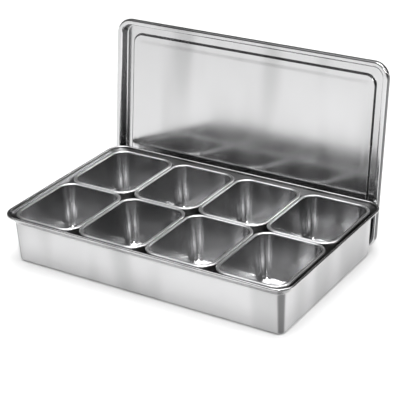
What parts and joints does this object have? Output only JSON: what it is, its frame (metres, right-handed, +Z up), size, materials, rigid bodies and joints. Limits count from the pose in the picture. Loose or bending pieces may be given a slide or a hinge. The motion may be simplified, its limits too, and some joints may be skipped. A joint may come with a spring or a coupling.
{
  "type": "spice box",
  "caption": "Rectangular satin stainless steel spice box: shallow flared tray holding two rows of loose rounded pans, with a flat pressed lid standing behind it.",
  "frame": {"origin": "centre of the tray's flat bottom face, on the table", "axes": "+X along the box's length to the right, +Y towards the back where the lid stands, +Z up"},
  "size_m": [0.3321, 0.2337, 0.1963],
  "materials": {
    "tray_steel": "satin",
    "pan_steel": "satin",
    "lid_steel": "satin"
  },
  "bodies": {
    "outer_tray": {"outer_tray": "tray_steel"},
    "pan_front_left": {"pan_front_left": "pan_steel"},
    "pan_front_mid_left": {"pan_front_mid_left": "pan_steel"},
    "pan_front_mid_right": {"pan_front_mid_right": "pan_steel"},
    "pan_front_right": {"pan_front_right": "pan_steel"},
    "pan_back_left": {"pan_back_left": "pan_steel"},
    "pan_back_mid_left": {"pan_back_mid_left": "pan_steel"},
    "pan_back_mid_right": {"pan_back_mid_right": "pan_steel"},
    "pan_back_right": {"pan_back_right": "pan_steel"},
    "lid": {"lid": "lid_steel"}
  },
  "joints": [
    {"name": "pan_front_left_lift", "type": "slide", "parent": "outer_tray", "child": "pan_front_left", "axis": [0, 0, 1], "range_m": [0, 0.065]},
    {"name": "pan_front_mid_left_lift", "type": "slide", "parent": "outer_tray", "child": "pan_front_mid_left", "axis": [0, 0, 1], "range_m": [0, 0.065]},
    {"name": "pan_front_mid_right_lift", "type": "slide", "parent": "outer_tray", "child": "pan_front_mid_right", "axis": [0, 0, 1], "range_m": [0, 0.065]},
    {"name": "pan_front_right_lift", "type": "slide", "parent": "outer_tray", "child": "pan_front_right", "axis": [0, 0, 1], "range_m": [0, 0.065]},
    {"name": "pan_back_left_lift", "type": "slide", "parent": "outer_tray", "child": "pan_back_left", "axis": [0, 0, 1], "range_m": [0, 0.065]},
    {"name": "pan_back_mid_left_lift", "type": "slide", "parent": "outer_tray", "child": "pan_back_mid_left", "axis": [0, 0, 1], "range_m": [0, 0.065]},
    {"name": "pan_back_mid_right_lift", "type": "slide", "parent": "outer_tray", "child": "pan_back_mid_right", "axis": [0, 0, 1], "range_m": [0, 0.065]},
    {"name": "pan_back_right_lift", "type": "slide", "parent": "outer_tray", "child": "pan_back_right", "axis": [0, 0, 1], "range_m": [0, 0.065]},
    {"name": "lid_draw_back", "type": "slide", "parent": "outer_tray", "child": "lid", "axis": [0, 1, 0], "range_m": [0, 0.12]}
  ]
}
